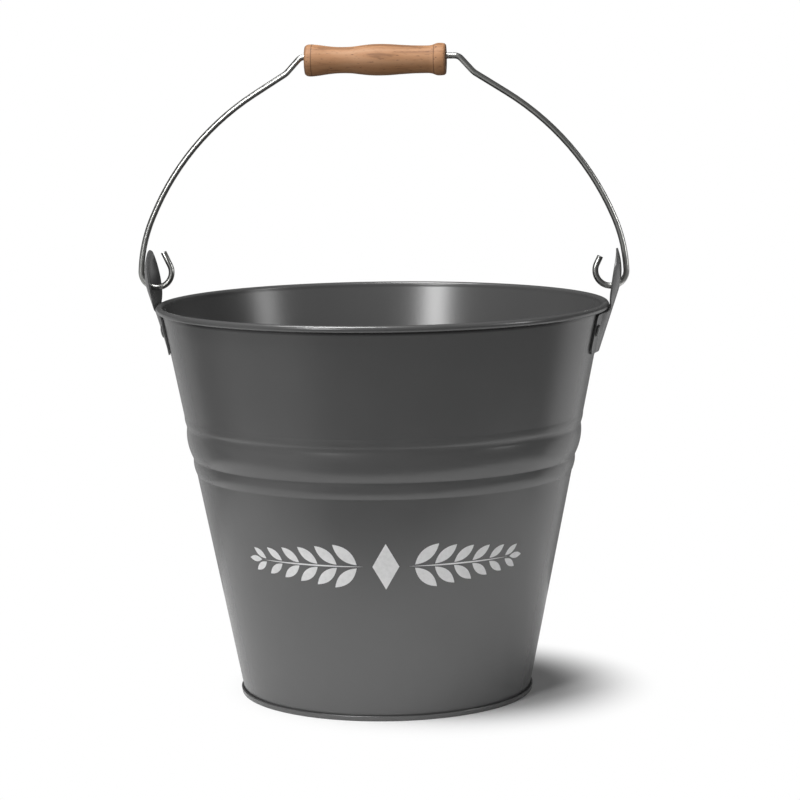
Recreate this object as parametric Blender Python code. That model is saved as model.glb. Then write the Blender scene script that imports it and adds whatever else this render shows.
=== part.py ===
"""A tapered sheet-steel log bucket with a wired rim, riveted ears, a wire bail and a turned wooden grip.

Metres, +Z up. The origin is on the bucket's axis at the floor, and the ears lie on the X axis.
"""

import math

import bmesh
import bpy
from mathutils import Vector

# Sheet and clearances
SHEET = 0.0006
GAP = 0.0003
CUT_OVERRUN = 0.012
MERGE = 0.00002
ROUND_STEPS = 60

# Wall: a cone from the floor to a short upright neck under the rolled rim
RIM_RADIUS = 0.150
RIM_TOP = 0.2605
ROLL_RADIUS = 0.0022
NECK_DROP = 0.0035
FOOT_RADIUS = 0.0957

# The two swaged ribs round the wall
UPPER_RIB_HEIGHT = 0.1695
UPPER_RIB_WIDTH = 0.0202
UPPER_RIB_PROUD = 0.0016
LOWER_RIB_WIDTH = 0.0104
LOWER_RIB_PROUD = 0.00075
RIB_STEPS = 4

# Folded joint between the wall's foot and the base
FOLD_HEIGHT = 0.0034
FOLD_CORNER = 0.0005

# Base panel, pressed up in the middle
PANEL_UNDERSIDE = 0.0033
PANEL_CORNER = 0.0008
PANEL_RISE = 0.0008
PANEL_STEP_RADIUS = 0.080
PANEL_STEP_RUN = 0.002

# Grooved side seam under the left ear
SEAM_WIDTH = 0.005
SEAM_PROUD = 0.0010
SEAM_CHAMFER = 0.0006
SEAM_CLEAR_OF_FOLD = 0.002

# Ears: a riveted foot, a channel that leans out past the rim, and a dished round head
EAR_SHEET = 0.0012
EAR_DROP = 0.0320
EAR_FOOT_STANDOFF = 0.0027
EAR_RIM_STANDOFF = 0.0029
EAR_FOLD_Y = 0.017
EAR_FLANGE_Y = 0.033
EAR_FLANGE_DROP = 0.0058
EAR_FLANGE_CORNER = 0.006
EAR_SHOULDER_CORNER = 0.003
EAR_NECK_Y = 0.0130
EAR_NECK_CORNER = 0.002
EAR_NECK_FILLET = 0.004
EAR_HEAD_RADIUS = 0.0207
EAR_HEAD_RISE = 0.0143
EAR_HEAD_DEPTH = 0.0047
EAR_HEAD_POWER = 2.5
EAR_CURL_START = 0.0074
EAR_CURL_RADIUS = 0.041
EAR_CHANNEL_POWER = 2.2
EAR_BLEND_RISE = 0.0023
EAR_HOLE_RADIUS = 0.0040

# Rivets
RIVET_HEIGHT_BELOW_RIM = 0.0162
RIVET_Y = 0.027
RIVET_SHANK_RADIUS = 0.002
RIVET_HEAD_RADIUS = 0.004
RIVET_HEAD_HEIGHT = 0.0014
RIVET_TAIL_RADIUS = 0.0032
RIVET_TAIL_HEIGHT = 0.0009
RIVET_STEPS = 10
RIVET_SIDES = ((1, -1), (1, 1), (-1, -1), (-1, 1))

# Bail: wire, hooks, arch and the straight stretch in the grip
WIRE_RADIUS = 0.002
PIVOT_RISE = 0.0119
HOOK_RADIUS = 0.0102
HOOK_ENTRY_DEGREES = 33.1
HOOK_TIP_DEGREES = 205.0
LEFT_TIP_LENGTH = 0.0100
RIGHT_TIP_LENGTH = 0.0055
LEG_LEAN_DEGREES = 4.0
ELBOW_RISE = 0.0282
ELBOW_RADIUS = 0.100
ARM_LEAN_DEGREES = 23.3
ARM_STRAIGHT = 0.001
SHOULDER_SLOPE_DEGREES = 31.9
KINK_SLOPE_DEGREES = 47.5
KINK_LENGTH = 0.0145
KINK_BEND_RADIUS = 0.006
SHOULDER_BEND_RADIUS = 0.014
BAIL_RISE = 0.1497
WIRE_PAST_GRIP = 0.0031

# Grip: a turned handle hanging on the wire, slid a little to the left
GRIP_LENGTH = 0.0926
GRIP_RADIUS = 0.0106
GRIP_BORE_RADIUS = 0.0045
GRIP_SLIP = 0.0026
GRIP_STEPS = 20
GRIP_SHAPE_SHARES = (
    (0.000, 0.87), (0.013, 0.96), (0.040, 0.99), (0.090, 0.955), (0.150, 0.88), (0.215, 0.82),
    (0.275, 0.805), (0.335, 0.825), (0.395, 0.89), (0.460, 0.95), (0.525, 0.97), (0.600, 0.955),
    (0.680, 0.905), (0.760, 0.865), (0.840, 0.85), (0.885, 0.855), (0.910, 0.90), (0.935, 0.985),
    (0.965, 1.00), (0.990, 0.97), (1.000, 0.90),
)

neck_radius = RIM_RADIUS - 2 * ROLL_RADIUS + SHEET
neck_height = RIM_TOP - NECK_DROP
roll_centre_radius = RIM_RADIUS - ROLL_RADIUS
roll_centre_height = RIM_TOP - ROLL_RADIUS
rim_wire_radius = ROLL_RADIUS - SHEET - GAP
lower_rib_height = UPPER_RIB_HEIGHT - (UPPER_RIB_WIDTH + LOWER_RIB_WIDTH) / 2 - GAP
pivot_height = RIM_TOP + PIVOT_RISE
ear_foot = RIM_TOP - EAR_DROP
ear_flange_top = RIM_TOP - EAR_FLANGE_DROP
ear_blend_top = ear_flange_top + EAR_BLEND_RISE
ear_head_centre = RIM_TOP + EAR_HEAD_RISE
ear_top = ear_head_centre + EAR_HEAD_RADIUS
rivet_height = RIM_TOP - RIVET_HEIGHT_BELOW_RIM
wire_height = pivot_height + BAIL_RISE
grip_height = wire_height - (GRIP_BORE_RADIUS - WIRE_RADIUS - GAP)


def wall_radius(height):
    """Outer radius of the wall's cone."""
    return FOOT_RADIUS + (neck_radius - FOOT_RADIUS) * height / neck_height


def arc(centre, radius, start, end, steps):
    """Points on an arc in a plane, with its angles in degrees."""
    points = []
    for step in range(steps + 1):
        angle = math.radians(start + (end - start) * step / steps)
        points.append((centre[0] + radius * math.cos(angle), centre[1] + radius * math.sin(angle)))
    return points


def rounded(corners, radii, steps):
    """A path through corners, each rounded by an arc of its own radius."""
    path = [Vector(corners[0])]
    for before, corner, after, radius, count in zip(corners, corners[1:], corners[2:], radii, steps):
        corner = Vector(corner)
        back = (Vector(before) - corner).normalized()
        onward = (Vector(after) - corner).normalized()
        half = back.angle(onward) / 2
        centre = corner + (back + onward).normalized() * radius / math.sin(half)
        first = corner + back * radius / math.tan(half) - centre
        last = corner + onward * radius / math.tan(half) - centre
        sweep = last.angle_signed(first)
        start = math.atan2(first.y, first.x)
        for step in range(count + 1):
            angle = start + sweep * step / count
            path.append(centre + Vector((math.cos(angle), math.sin(angle))) * radius)
    path.append(Vector(corners[-1]))
    return [tuple(point) for point in path]


def surface_material(name, colour, roughness, metallic):
    material = bpy.data.materials.new(name)
    material.use_nodes = True
    shader = material.node_tree.nodes["Principled BSDF"]
    shader.inputs["Base Color"].default_value = (*colour, 1)
    shader.inputs["Roughness"].default_value = roughness
    shader.inputs["Metallic"].default_value = metallic
    return material


def add_object(name, mesh, material=None):
    obj = bpy.data.objects.new(name, mesh)
    bpy.context.scene.collection.objects.link(obj)
    if material:
        obj.data.materials.append(material)
    return obj


def line_mesh(name, points, closed):
    """A profile in the XZ plane, as edges for a Screw modifier."""
    mesh = bpy.data.meshes.new(name)
    edges = [(i, i + 1) for i in range(len(points) - 1)]
    if closed:
        edges.append((len(points) - 1, 0))
    mesh.from_pydata([(x, 0, z) for x, z in points], edges, [])
    return mesh


def turn(obj, steps):
    """Turns a profile round Z. Its points run down the outer side."""
    screw = obj.modifiers.new("turn", "SCREW")
    screw.axis = "Z"
    screw.steps = steps
    screw.render_steps = steps
    screw.use_merge_vertices = True
    screw.merge_threshold = MERGE
    return obj


def cutter(obj):
    obj.hide_render = True
    obj.display_type = "WIRE"
    return obj


def combine(obj, other, operation):
    boolean = obj.modifiers.new(operation.lower(), "BOOLEAN")
    boolean.operation = operation
    boolean.object = cutter(other)


def finish(obj, sharp_degrees=30):
    """Applies the modifiers, so that smooth shading with sharp edges can be set."""
    bpy.context.view_layer.update()
    evaluated = obj.evaluated_get(bpy.context.evaluated_depsgraph_get())
    mesh = bpy.data.meshes.new_from_object(evaluated)
    obj.modifiers.clear()
    obj.data = mesh
    mesh.shade_smooth()
    mesh.set_sharp_from_angle(angle=math.radians(sharp_degrees))
    return obj


def prism(name, outline, along, low, high):
    """A closed outline of (a, b) points, extruded along X or Y from low to high."""
    def place(a, b, depth):
        return (depth, a, b) if along == "X" else (a, depth, b)

    shape = bmesh.new()
    ring = [shape.verts.new(place(a, b, low)) for a, b in outline]
    face = shape.faces.new(ring)
    pushed = bmesh.ops.extrude_face_region(shape, geom=[face])
    moved = [item for item in pushed["geom"] if isinstance(item, bmesh.types.BMVert)]
    bmesh.ops.translate(shape, verts=moved, vec=place(0, 0, high - low))
    bmesh.ops.recalc_face_normals(shape, faces=shape.faces)
    mesh = bpy.data.meshes.new(name)
    shape.to_mesh(mesh)
    shape.free()
    return add_object(name, mesh)


def round_bar(name, radius, length, steps):
    """A cylinder along Z about its own origin."""
    shape = bmesh.new()
    bmesh.ops.create_cone(
        shape, cap_ends=True, segments=steps, radius1=radius, radius2=radius, depth=length
    )
    mesh = bpy.data.meshes.new(name)
    shape.to_mesh(mesh)
    shape.free()
    return add_object(name, mesh)


def rib(height, width, proud):
    """Wall points over one rib, from its top edge down: (height, how far it stands out)."""
    points = []
    for step in range(RIB_STEPS + 1):
        share = step / RIB_STEPS
        points.append((height + width * (0.5 - share), 4 * proud * share * (1 - share)))
    return points


def wall_line(offset, low):
    """The cone's outer line moved out by offset, with both ribs, from the neck down to low."""
    ribs = rib(UPPER_RIB_HEIGHT, UPPER_RIB_WIDTH, UPPER_RIB_PROUD)
    ribs += rib(lower_rib_height, LOWER_RIB_WIDTH, LOWER_RIB_PROUD)
    stations = [(neck_height, 0)] + ribs + [(low, 0)]
    return [(wall_radius(height) + proud + offset, height) for height, proud in stations]


def fold_line(offset, height):
    return (wall_radius(height) + offset, height)


def make_wall(material):
    hook_floor = SHEET + GAP
    hook_top = FOLD_HEIGHT - SHEET - GAP
    centre = (roll_centre_radius, roll_centre_height)
    profile = arc(centre, ROLL_RADIUS - SHEET, -120, 180, 8)
    profile += wall_line(0, hook_floor + SHEET)
    profile += [
        fold_line(GAP, hook_floor + SHEET),
        fold_line(GAP, hook_top),
        fold_line(GAP + SHEET, hook_top),
        fold_line(GAP + SHEET, hook_floor + FOLD_CORNER),
        fold_line(GAP + SHEET - FOLD_CORNER, hook_floor),
        fold_line(FOLD_CORNER - SHEET, hook_floor),
    ]
    profile += reversed(wall_line(-SHEET, hook_floor + FOLD_CORNER))
    profile += arc(centre, ROLL_RADIUS, 180, -120, 10)
    wall = turn(add_object("bucket_wall", line_mesh("bucket_wall", profile, True), material), ROUND_STEPS)

    low = FOLD_HEIGHT + SEAM_CLEAR_OF_FOLD
    outside = wall_line(SEAM_PROUD, low + SEAM_PROUD)
    outside[0] = (outside[0][0] - SEAM_PROUD + GAP, neck_height)
    inside = reversed(wall_line(-SHEET / 2, low))
    strip = [(-radius, height) for radius, height in [*outside, *inside]]
    seam = prism("side_seam", strip, "Y", -SEAM_WIDTH / 2, SEAM_WIDTH / 2)
    combine(wall, seam, "UNION")
    finish(wall)
    for rivet_hole in rivet_cutters(RIVET_SIDES):
        combine(wall, rivet_hole, "DIFFERENCE")
    return finish(wall)


def make_rim_wire(material):
    shape = bmesh.new()
    centre = Vector((roll_centre_radius, 0, roll_centre_height))
    ring = bmesh.ops.create_circle(shape, segments=8, radius=rim_wire_radius)["verts"]
    for vert in ring:
        vert.co = centre + Vector((vert.co.x, 0, vert.co.y))
    bmesh.ops.spin(
        shape, geom=list(shape.edges), cent=(0, 0, 0), axis=(0, 0, 1), angle=math.tau,
        steps=ROUND_STEPS, use_merge=True,
    )
    bmesh.ops.recalc_face_normals(shape, faces=shape.faces)
    mesh = bpy.data.meshes.new("rim_wire")
    shape.to_mesh(mesh)
    shape.free()
    return finish(add_object("rim_wire", mesh, material))


def make_base(material):
    top = PANEL_UNDERSIDE + SHEET
    inner = -2 * SHEET - GAP
    outer = 2 * (SHEET + GAP)
    corner = wall_radius(top) - SHEET - GAP - PANEL_CORNER
    step_top = PANEL_STEP_RADIUS - PANEL_STEP_RUN
    profile = [(0, top + PANEL_RISE), (step_top, top + PANEL_RISE), (PANEL_STEP_RADIUS, top)]
    profile += arc((corner, top - PANEL_CORNER), PANEL_CORNER, 90, 0, 3)
    profile += [
        fold_line(-SHEET - GAP, SHEET),
        fold_line(outer - SHEET, SHEET),
        fold_line(outer - SHEET, FOLD_HEIGHT - SHEET),
        fold_line(GAP, FOLD_HEIGHT - SHEET),
        fold_line(GAP, FOLD_HEIGHT - FOLD_CORNER / 2),
        fold_line(GAP + FOLD_CORNER / 2, FOLD_HEIGHT),
        fold_line(outer - FOLD_CORNER, FOLD_HEIGHT),
        fold_line(outer - FOLD_CORNER / 4, FOLD_HEIGHT - FOLD_CORNER / 4),
        fold_line(outer, FOLD_HEIGHT - FOLD_CORNER),
        fold_line(outer, FOLD_CORNER),
        fold_line(outer - FOLD_CORNER, 0),
        fold_line(inner + FOLD_CORNER, 0),
        fold_line(inner, FOLD_CORNER),
        fold_line(inner, PANEL_UNDERSIDE),
        (PANEL_STEP_RADIUS, PANEL_UNDERSIDE),
        (step_top, PANEL_UNDERSIDE + PANEL_RISE),
        (0, PANEL_UNDERSIDE + PANEL_RISE),
    ]
    base = add_object("base", line_mesh("base", profile, False), material)
    return finish(turn(base, ROUND_STEPS))


def crest_x(height):
    """Outer face of the ear's channel on its centre line."""
    foot = wall_radius(ear_foot) + EAR_FOOT_STANDOFF
    lean = (RIM_RADIUS + EAR_RIM_STANDOFF - foot) / (roll_centre_height - ear_foot)
    curl_start = RIM_TOP + EAR_CURL_START
    curl = max(0, height - curl_start) ** 2 / (2 * EAR_CURL_RADIUS)
    return foot + lean * (height - ear_foot) - curl


def ear_x(y, height):
    """Middle of the ear's sheet."""
    def flange_x(away, level):
        radius = wall_radius(level) + GAP + EAR_SHEET / 2
        return math.sqrt(radius**2 - away**2)

    away = abs(y)
    if away > EAR_FOLD_Y and height <= ear_blend_top + MERGE:
        return flange_x(away, height)
    level = min(height, ear_flange_top)
    channel = crest_x(level) - EAR_SHEET / 2 - flange_x(EAR_FOLD_Y, level)
    channel *= (min(away, EAR_FOLD_Y) / EAR_FOLD_Y) ** EAR_CHANNEL_POWER
    dish = EAR_HEAD_DEPTH * (away / EAR_HEAD_RADIUS) ** EAR_HEAD_POWER
    share = min(1, max(0, (height - ear_flange_top) / EAR_BLEND_RISE))
    return crest_x(height) - EAR_SHEET / 2 - channel * (1 - share) - dish * share


def ear_outline():
    """The blank's outline from in front: flanges, shoulders, neck and round head."""
    reach = EAR_HEAD_RADIUS + EAR_NECK_FILLET
    fillet_y = EAR_NECK_Y + EAR_NECK_FILLET
    fillet_z = ear_head_centre - math.sqrt(reach**2 - fillet_y**2)
    tangent = math.degrees(math.atan2(fillet_z - ear_head_centre, fillet_y))
    half = rounded(
        [
            (0, ear_foot),
            (EAR_FLANGE_Y, ear_foot),
            (EAR_FLANGE_Y, ear_flange_top),
            (EAR_NECK_Y, ear_flange_top),
            (EAR_NECK_Y, fillet_z),
        ],
        [EAR_FLANGE_CORNER, EAR_SHOULDER_CORNER, EAR_NECK_CORNER],
        [4, 3, 3],
    )
    half += arc((fillet_y, fillet_z), EAR_NECK_FILLET, 180, 180 + tangent, 3)[1:]
    half += arc((0, ear_head_centre), EAR_HEAD_RADIUS, tangent, 90, 12)[1:]
    return half[1:] + [(-y, z) for y, z in reversed(half[1:-1])]


def ear_grid():
    """Rows and columns of the pressed sheet, with lines on the folds and on the flange's top."""
    inner = [EAR_FOLD_Y * step / 5 for step in range(5)]
    wide = EAR_FLANGE_Y + EAR_SHEET
    outer = [EAR_FOLD_Y + (wide - EAR_FOLD_Y) * step / 3 for step in range(4)]
    half = inner + outer
    columns = [-y for y in reversed(half[1:])] + half
    low = ear_foot - EAR_SHEET
    high = ear_top + EAR_SHEET
    rows = [low + (ear_flange_top - low) * step / 4 for step in range(4)]
    rows += [ear_flange_top] + [ear_blend_top + (high - ear_blend_top) * step / 11 for step in range(12)]
    return columns, rows


def make_ear(name, material, turned):
    """One ear, pressed on +X. The left one is turned half round the bucket."""
    columns, rows = ear_grid()
    shape = bmesh.new()
    bmesh.ops.create_grid(shape, x_segments=len(columns) - 1, y_segments=len(rows) - 1, size=0.5)
    for vert in shape.verts:
        y = columns[round((vert.co.x + 0.5) * (len(columns) - 1))]
        z = rows[round((vert.co.y + 0.5) * (len(rows) - 1))]
        vert.co = (ear_x(y, z), y, z)
    mesh = bpy.data.meshes.new(name)
    shape.to_mesh(mesh)
    shape.free()
    ear = add_object(name, mesh, material)
    sheet = ear.modifiers.new("sheet", "SOLIDIFY")
    sheet.thickness = EAR_SHEET
    sheet.offset = 0
    sheet.use_even_offset = True
    low = neck_radius - CUT_OVERRUN
    high = crest_x(ear_top) + CUT_OVERRUN
    combine(ear, prism(name + "_outline", ear_outline(), "X", low, high), "INTERSECT")
    hole = round_bar(name + "_hole", EAR_HOLE_RADIUS, 2 * CUT_OVERRUN, 20)
    hole.rotation_euler.y = math.pi / 2
    hole.location = (crest_x(pivot_height), 0, hook_low_point() - GAP + EAR_HOLE_RADIUS)
    combine(ear, hole, "DIFFERENCE")
    for rivet_hole in rivet_cutters([(1, -1), (1, 1)]):
        combine(ear, rivet_hole, "DIFFERENCE")
    finish(ear)
    ear.rotation_euler.z = turned
    return ear


def rivet_place(side, front):
    """Where a rivet crosses the wall's outer face, and the wall's outward direction there."""
    radius = wall_radius(rivet_height)
    bearing = math.asin(RIVET_Y / radius) * front
    if side < 0:
        bearing = math.pi - bearing
    point = Vector((radius * math.cos(bearing), radius * math.sin(bearing), rivet_height))
    slope = (neck_radius - FOOT_RADIUS) / neck_height
    normal = Vector((math.cos(bearing), math.sin(bearing), -slope)).normalized()
    return point, normal


def rivet_cutters(places):
    """Bars that make the rivet holes."""
    bars = []
    for side, front in places:
        point, normal = rivet_place(side, front)
        bar = round_bar("rivet_hole", RIVET_SHANK_RADIUS + GAP, CUT_OVERRUN / 2, RIVET_STEPS)
        bar.location = point
        bar.rotation_mode = "QUATERNION"
        bar.rotation_quaternion = normal.to_track_quat("Z", "X")
        bars.append(bar)
    return bars


def make_rivet(name, side, front, material):
    """A domed rivet: its head on the ear, its shank through both sheets, its tail spread inside."""
    seat = GAP + EAR_SHEET + GAP
    inside = -SHEET - 2 * GAP
    profile = [(0, seat + RIVET_HEAD_HEIGHT)]
    for share in (0.45, 0.85):
        drop = RIVET_HEAD_HEIGHT * share**2 * 0.8
        profile.append((RIVET_HEAD_RADIUS * share, seat + RIVET_HEAD_HEIGHT - drop))
    profile += [
        (RIVET_HEAD_RADIUS, seat + RIVET_HEAD_HEIGHT / 5),
        (RIVET_HEAD_RADIUS, seat),
        (RIVET_SHANK_RADIUS, seat),
        (RIVET_SHANK_RADIUS, inside),
        (RIVET_TAIL_RADIUS, inside),
        (RIVET_TAIL_RADIUS, inside - RIVET_TAIL_HEIGHT / 2),
        (RIVET_TAIL_RADIUS * 0.8, inside - RIVET_TAIL_HEIGHT),
        (0, inside - RIVET_TAIL_HEIGHT),
    ]
    rivet = turn(add_object(name, line_mesh(name, profile, False), material), RIVET_STEPS)
    finish(rivet)
    point, normal = rivet_place(side, front)
    rivet.location = point
    rivet.rotation_mode = "QUATERNION"
    rivet.rotation_quaternion = normal.to_track_quat("Z", "X")
    return rivet


def hook_centre():
    """Centre of the hook's round: the wire crosses the ear's sheet on the pivot's axis."""
    entry = math.radians(HOOK_ENTRY_DEGREES)
    pivot_x = crest_x(pivot_height) - EAR_SHEET / 2
    return (pivot_x - HOOK_RADIUS * math.sin(entry), pivot_height + HOOK_RADIUS * math.cos(entry))


def hook_low_point():
    """Underside of the wire where it lies in the hole's lower edge."""
    centre = hook_centre()
    edge_x = crest_x(pivot_height - EAR_HOLE_RADIUS) - EAR_SHEET
    reach = HOOK_RADIUS + WIRE_RADIUS
    return centre[1] - math.sqrt(reach**2 - (edge_x - centre[0]) ** 2)


def bail_path(tip_length):
    """One half of the bail's centre line as (x, z), from the middle of the grip to the hook's tip."""
    kink = math.radians(KINK_SLOPE_DEGREES)
    shoulder = math.radians(SHOULDER_SLOPE_DEGREES)
    arm = math.radians(ARM_LEAN_DEGREES)
    lean = math.radians(LEG_LEAN_DEGREES)
    first = GRIP_LENGTH / 2 + GRIP_SLIP + WIRE_PAST_GRIP
    second = (first + KINK_LENGTH * math.cos(kink), wire_height - KINK_LENGTH * math.sin(kink))
    centre = hook_centre()
    foot = (centre[0] + HOOK_RADIUS * math.cos(lean), centre[1] + HOOK_RADIUS * math.sin(lean))
    elbow_height = pivot_height + ELBOW_RISE
    elbow = (foot[0] - (elbow_height - foot[1]) * math.tan(lean), elbow_height)
    run = second[0] - elbow[0]
    fall = second[1] - elbow[1]
    up_arm = (fall + run * math.tan(shoulder)) / (math.cos(arm) - math.sin(arm) * math.tan(shoulder))
    third = (elbow[0] - up_arm * math.sin(arm), elbow[1] + up_arm * math.cos(arm))
    arm_room = up_arm - ARM_STRAIGHT - ELBOW_RADIUS * math.tan((arm - lean) / 2)
    shoulder_room = math.dist(second, third) - SHOULDER_BEND_RADIUS * math.tan((kink - shoulder) / 2)
    arch_radius = min(arm_room, shoulder_room) / math.tan((math.pi / 2 - arm - shoulder) / 2)
    path = rounded(
        [(0, wire_height), (first, wire_height), second, third, elbow, foot],
        [KINK_BEND_RADIUS, SHOULDER_BEND_RADIUS, arch_radius, ELBOW_RADIUS],
        [4, 3, 9, 4],
    )
    path += arc(centre, HOOK_RADIUS, LEG_LEAN_DEGREES, -HOOK_TIP_DEGREES, 16)[1:]
    away = math.radians(-HOOK_TIP_DEGREES - 90)
    tip = (path[-1][0] + tip_length * math.cos(away), path[-1][1] + tip_length * math.sin(away))
    return path + [tip]


def make_bail(material):
    left = [(-x, z) for x, z in reversed(bail_path(LEFT_TIP_LENGTH)[1:])]
    points = left + bail_path(RIGHT_TIP_LENGTH)[1:]
    curve = bpy.data.curves.new("bail_wire", "CURVE")
    curve.dimensions = "3D"
    curve.bevel_depth = WIRE_RADIUS
    curve.bevel_resolution = 2
    curve.use_fill_caps = True
    spline = curve.splines.new("POLY")
    spline.points.add(len(points) - 1)
    for spot, (x, z) in zip(spline.points, points):
        spot.co = (x, 0, z - pivot_height, 1)
    bail = add_object("bail_wire", curve, material)
    bail.parent = bpy.data.objects["bail_pivot"]
    return bail


def make_grip(material):
    profile = [
        (GRIP_RADIUS * radius, GRIP_LENGTH * (0.5 - along)) for along, radius in reversed(GRIP_SHAPE_SHARES)
    ]
    profile = [(radius, -height) for radius, height in profile]
    profile += [(GRIP_BORE_RADIUS, -GRIP_LENGTH / 2), (GRIP_BORE_RADIUS, GRIP_LENGTH / 2)]
    grip = turn(add_object("wooden_grip", line_mesh("wooden_grip", profile, True), material), GRIP_STEPS)
    finish(grip)
    grip.rotation_euler.y = math.pi / 2
    grip.location.x = -GRIP_SLIP
    grip.parent = bpy.data.objects["grip_axis"]
    return grip


def add_axis(name, parent, height):
    empty = bpy.data.objects.new(name, None)
    bpy.context.scene.collection.objects.link(empty)
    empty.parent = parent
    empty.location.z = height
    return empty


def main():
    for obj in list(bpy.data.objects):
        bpy.data.objects.remove(obj)
    paint = surface_material("charcoal_paint", (0.085, 0.085, 0.087), 0.38, 0.0)
    base_paint = surface_material("charcoal_paint_base", (0.080, 0.080, 0.082), 0.42, 0.0)
    ear_paint = surface_material("charcoal_paint_ear", (0.090, 0.090, 0.092), 0.40, 0.0)
    zinc = surface_material("zinc_wire", (0.55, 0.55, 0.54), 0.28, 1.0)
    core = surface_material("rim_core_steel", (0.45, 0.45, 0.46), 0.45, 1.0)
    rivet_steel = surface_material("painted_rivet", (0.11, 0.11, 0.112), 0.35, 0.0)
    beech = surface_material("stained_beech", (0.36, 0.19, 0.10), 0.5, 0.0)
    pivot = add_axis("bail_pivot", None, pivot_height)
    add_axis("grip_axis", pivot, grip_height - pivot_height)
    make_wall(paint)
    make_rim_wire(core)
    make_base(base_paint)
    make_ear("right_ear", ear_paint, 0)
    make_ear("left_ear", ear_paint, math.pi)
    for side, front in RIVET_SIDES:
        where = ("right" if side > 0 else "left") + "_ear_" + ("front" if front < 0 else "rear")
        make_rivet(where + "_rivet", side, front, rivet_steel)
    make_bail(zinc)
    make_grip(beech)


main()
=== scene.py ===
import math

import bpy
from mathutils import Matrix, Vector


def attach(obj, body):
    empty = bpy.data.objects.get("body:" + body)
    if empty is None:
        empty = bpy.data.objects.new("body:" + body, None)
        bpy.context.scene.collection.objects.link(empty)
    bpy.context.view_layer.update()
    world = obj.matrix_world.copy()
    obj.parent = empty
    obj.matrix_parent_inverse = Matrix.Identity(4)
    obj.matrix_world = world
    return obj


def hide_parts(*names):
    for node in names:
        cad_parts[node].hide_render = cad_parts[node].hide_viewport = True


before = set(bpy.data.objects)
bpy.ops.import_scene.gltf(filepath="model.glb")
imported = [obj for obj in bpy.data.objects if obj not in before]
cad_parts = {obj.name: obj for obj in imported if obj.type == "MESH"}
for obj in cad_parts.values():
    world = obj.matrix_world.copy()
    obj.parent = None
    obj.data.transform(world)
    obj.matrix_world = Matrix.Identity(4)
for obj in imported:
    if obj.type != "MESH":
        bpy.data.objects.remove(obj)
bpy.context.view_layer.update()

print("the packed frame is loaded")

# Sizes that several pieces share, in metres, as the CAD has them. The origin is on the bucket's
# axis at the floor, and the ears lie on X.
bucket = {
    "sheet": 0.0006,
    "gap": 0.0003,
    "rimRadius": 0.150,
    "rimTop": 0.2605,
    "rollRadius": 0.0022,
    "neckDrop": 0.0035,
    "footRadius": 0.0957,
    "foldHeight": 0.0034,
    "pivotRise": 0.0119,
}
neckRadius = bucket["rimRadius"] - 2 * bucket["rollRadius"] + bucket["sheet"]
neckHeight = bucket["rimTop"] - bucket["neckDrop"]
rollMiddle = bucket["rimRadius"] - bucket["rollRadius"]
rollHeight = bucket["rimTop"] - bucket["rollRadius"]
pivotHeight = bucket["rimTop"] + bucket["pivotRise"]
wallSlope = (neckRadius - bucket["footRadius"]) / neckHeight


def wallRadius(height):
    return bucket["footRadius"] + wallSlope * height


mergeDistance = 0.000002

# Small helpers for working in object and edit mode

def deselectAll():
    if bpy.context.mode != "OBJECT":
        bpy.ops.object.mode_set(mode="OBJECT")
    bpy.ops.object.select_all(action="DESELECT")


def makeActive(obj):
    deselectAll()
    obj.select_set(True)
    bpy.context.view_layer.objects.active = obj


def editAll(obj):
    makeActive(obj)
    bpy.ops.object.mode_set(mode="EDIT")
    bpy.ops.mesh.select_all(action="SELECT")


def arcPoints(centre, radius, start, end, steps):
    angles = [math.radians(start + (end - start) * step / steps) for step in range(steps + 1)]
    return [(centre[0] + radius * math.cos(a), centre[1] + radius * math.sin(a)) for a in angles]


def roundedLine(corners, radii, steps):
    # each inner corner is replaced by an arc of its own radius
    line = [Vector(corners[0])]
    for before, corner, after, radius in zip(corners, corners[1:], corners[2:], radii):
        corner = Vector(corner)
        back = (Vector(before) - corner).normalized()
        onward = (Vector(after) - corner).normalized()
        half = back.angle(onward) / 2
        centre = corner + (back + onward).normalized() * radius / math.sin(half)
        first = corner + back * radius / math.tan(half) - centre
        last = corner + onward * radius / math.tan(half) - centre
        sweep = last.angle_signed(first)
        start = math.atan2(first.y, first.x)
        for step in range(steps + 1):
            angle = start + sweep * step / steps
            line.append(centre + Vector((math.cos(angle), math.sin(angle))) * radius)
    line.append(Vector(corners[-1]))
    return [tuple(point) for point in line]


def cutPlaces(low, high, cell, forced):
    # cut places between low and high, with the forced ones among them
    marks = [low] + sorted(forced) + [high]
    places = list(forced)
    for start, end in zip(marks, marks[1:]):
        count = max(1, round((end - start) / cell))
        places += [start + (end - start) * step / count for step in range(1, count)]
    return sorted(places)


def drawLine(name, points, closed):
    # a line drawn in edit mode, by extruding one vertex from point to point
    deselectAll()
    bpy.ops.mesh.primitive_plane_add(size=0.01, location=(0, 0, 0))
    obj = bpy.context.object
    obj.name = obj.data.name = name
    bpy.ops.object.mode_set(mode="EDIT")
    bpy.ops.mesh.select_mode(type="VERT")
    bpy.ops.mesh.merge(type="CENTER")
    bpy.ops.transform.translate(value=points[0])
    for before, after in zip(points, points[1:]):
        step = Vector(after) - Vector(before)
        bpy.ops.mesh.extrude_region_move(TRANSFORM_OT_translate={"value": step})
    bpy.ops.object.mode_set(mode="OBJECT")
    if closed:
        ends = (Vector(points[0]), Vector(points[-1]))
        for vertex in obj.data.vertices:
            vertex.select = min((vertex.co - end).length for end in ends) < mergeDistance / 2
        bpy.ops.object.mode_set(mode="EDIT")
        bpy.ops.mesh.edge_face_add()
        bpy.ops.object.mode_set(mode="OBJECT")
    return obj


def mergeAndFaceOut(obj):
    editAll(obj)
    bpy.ops.mesh.remove_doubles(threshold=mergeDistance)
    bpy.ops.mesh.normals_make_consistent(inside=False)
    bpy.ops.object.mode_set(mode="OBJECT")


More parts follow.
